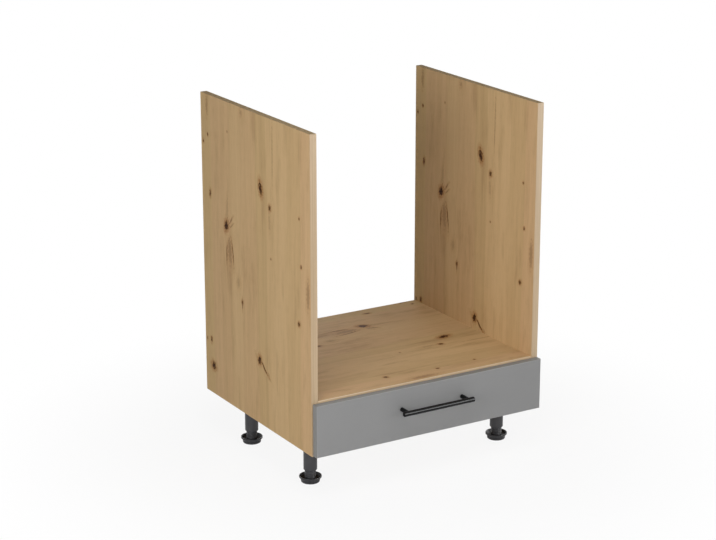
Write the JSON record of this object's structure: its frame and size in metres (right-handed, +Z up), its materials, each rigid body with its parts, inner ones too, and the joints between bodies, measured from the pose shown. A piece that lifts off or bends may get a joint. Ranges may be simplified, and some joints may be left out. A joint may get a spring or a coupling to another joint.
{
  "type": "oven base cabinet",
  "caption": "Kitchen base cabinet with an open oven niche over a shallow drawer, bar handle, light oak sides, grey front and round levelling legs.",
  "frame": {"origin": "on the floor, in the middle of the bounding box in X and Y", "axes": "+X to the right seen from the front, +Y from the drawer front to the back, +Z up"},
  "size_m": [0.6, 0.553, 0.82],
  "materials": {
    "oak_board": "light knotty oak print, matt",
    "oak_edging": "light oak print, matt",
    "back_board": "thin fibreboard, matt",
    "grey_front": "mid grey, smooth matt",
    "white_board": "white melamine, satin",
    "white_sheet": "white faced fibreboard",
    "beech_dowel": "bare beech",
    "zinc_steel": "zinc plated",
    "coated_steel": "white powder coat",
    "nylon": "white nylon",
    "leg_plastic": "dark grey moulded",
    "foot_plastic": "dark grey moulded",
    "buffer_rubber": "clear soft plastic",
    "black_metal": "black, satin"
  },
  "bodies": {
    "carcass": {"left_side_panel": "oak_board", "right_side_panel": "oak_board", "oven_deck": "oak_board", "bottom_panel": "oak_board", "back_panel": "back_board", "left_edging": "oak_edging", "right_edging": "oak_edging", "deck_edging": "oak_edging", "bottom_edging": "oak_edging", "cam_locks": "zinc_steel", "cam_bolts": "zinc_steel", "wooden_dowels": "beech_dowel", "back_nails": "zinc_steel", "left_cabinet_rail": "coated_steel", "right_cabinet_rail": "coated_steel", "cabinet_rail_screws": "zinc_steel", "front_roller_rivets": "zinc_steel", "leg_plates": "leg_plastic", "leg_screws": "zinc_steel", "leg_tubes": "leg_plastic"},
    "drawer": {"drawer_front": "grey_front", "drawer_left_side": "white_board", "drawer_right_side": "white_board", "drawer_back": "white_board", "drawer_bottom": "white_sheet", "left_drawer_rail": "coated_steel", "right_drawer_rail": "coated_steel", "drawer_rail_screws": "zinc_steel", "rear_roller_rivets": "zinc_steel", "drawer_cam_locks": "zinc_steel", "drawer_cam_bolts": "zinc_steel", "drawer_dowels": "beech_dowel", "drawer_back_screws": "zinc_steel", "front_buffers": "buffer_rubber", "handle_bar": "black_metal", "left_handle_post": "black_metal", "right_handle_post": "black_metal", "handle_screws": "zinc_steel"},
    "left_front_roller": {"left_front_roller": "nylon"},
    "left_rear_roller": {"left_rear_roller": "nylon"},
    "right_front_roller": {"right_front_roller": "nylon"},
    "right_rear_roller": {"right_rear_roller": "nylon"},
    "front_left_foot": {"front_left_foot": "foot_plastic"},
    "front_left_stem": {"front_left_stem": "leg_plastic"},
    "front_right_foot": {"front_right_foot": "foot_plastic"},
    "front_right_stem": {"front_right_stem": "leg_plastic"},
    "rear_left_foot": {"rear_left_foot": "foot_plastic"},
    "rear_left_stem": {"rear_left_stem": "leg_plastic"},
    "rear_right_foot": {"rear_right_foot": "foot_plastic"},
    "rear_right_stem": {"rear_right_stem": "leg_plastic"}
  },
  "joints": [
    {"name": "drawer_slide", "type": "slide", "parent": "carcass", "child": "drawer", "axis": [0, -1, 0], "range_m": [0, 0.34]},
    {"name": "left_front_roller_turn", "type": "hinge", "parent": "carcass", "child": "left_front_roller", "pos_m": [-0.2795, -0.2075, 0.1378], "axis": [1, 0, 0], "range_deg": [-10, 1960]},
    {"name": "left_rear_roller_turn", "type": "hinge", "parent": "drawer", "child": "left_rear_roller", "pos_m": [-0.2795, 0.2115, 0.1353], "axis": [1, 0, 0], "range_deg": [-10, 1960]},
    {"name": "right_front_roller_turn", "type": "hinge", "parent": "carcass", "child": "right_front_roller", "pos_m": [0.2795, -0.2075, 0.1378], "axis": [1, 0, 0], "range_deg": [-10, 1960]},
    {"name": "right_rear_roller_turn", "type": "hinge", "parent": "drawer", "child": "right_rear_roller", "pos_m": [0.2795, 0.2115, 0.1353], "axis": [1, 0, 0], "range_deg": [-10, 1960]},
    {"name": "front_left_foot_slide", "type": "slide", "parent": "carcass", "child": "front_left_foot", "axis": [0, 0, -1], "range_m": [-0.01, 0.015]},
    {"name": "front_left_stem_turn", "type": "hinge", "parent": "front_left_foot", "child": "front_left_stem", "pos_m": [-0.253, -0.1335, 0.02], "axis": [0, 0, -1], "range_deg": [-910, 1360]},
    {"name": "front_right_foot_slide", "type": "slide", "parent": "carcass", "child": "front_right_foot", "axis": [0, 0, -1], "range_m": [-0.01, 0.015]},
    {"name": "front_right_stem_turn", "type": "hinge", "parent": "front_right_foot", "child": "front_right_stem", "pos_m": [0.253, -0.1335, 0.02], "axis": [0, 0, -1], "range_deg": [-910, 1360]},
    {"name": "rear_left_foot_slide", "type": "slide", "parent": "carcass", "child": "rear_left_foot", "axis": [0, 0, -1], "range_m": [-0.01, 0.015]},
    {"name": "rear_left_stem_turn", "type": "hinge", "parent": "rear_left_foot", "child": "rear_left_stem", "pos_m": [-0.253, 0.1425, 0.02], "axis": [0, 0, -1], "range_deg": [-910, 1360]},
    {"name": "rear_right_foot_slide", "type": "slide", "parent": "carcass", "child": "rear_right_foot", "axis": [0, 0, -1], "range_m": [-0.01, 0.015]},
    {"name": "rear_right_stem_turn", "type": "hinge", "parent": "rear_right_foot", "child": "rear_right_stem", "pos_m": [0.253, 0.1425, 0.02], "axis": [0, 0, -1], "range_deg": [-910, 1360]}
  ],
  "couplings": [
    {"joint": "left_front_roller_turn", "follows": "drawer_slide", "rad_per_m": 100},
    {"joint": "left_rear_roller_turn", "follows": "drawer_slide", "rad_per_m": 100},
    {"joint": "right_front_roller_turn", "follows": "drawer_slide", "rad_per_m": 100},
    {"joint": "right_rear_roller_turn", "follows": "drawer_slide", "rad_per_m": 100},
    {"joint": "front_left_stem_turn", "follows": "front_left_foot_slide", "rad_per_m": 1570.8},
    {"joint": "front_right_stem_turn", "follows": "front_right_foot_slide", "rad_per_m": 1570.8},
    {"joint": "rear_left_stem_turn", "follows": "rear_left_foot_slide", "rad_per_m": 1570.8},
    {"joint": "rear_right_stem_turn", "follows": "rear_right_foot_slide", "rad_per_m": 1570.8}
  ]
}
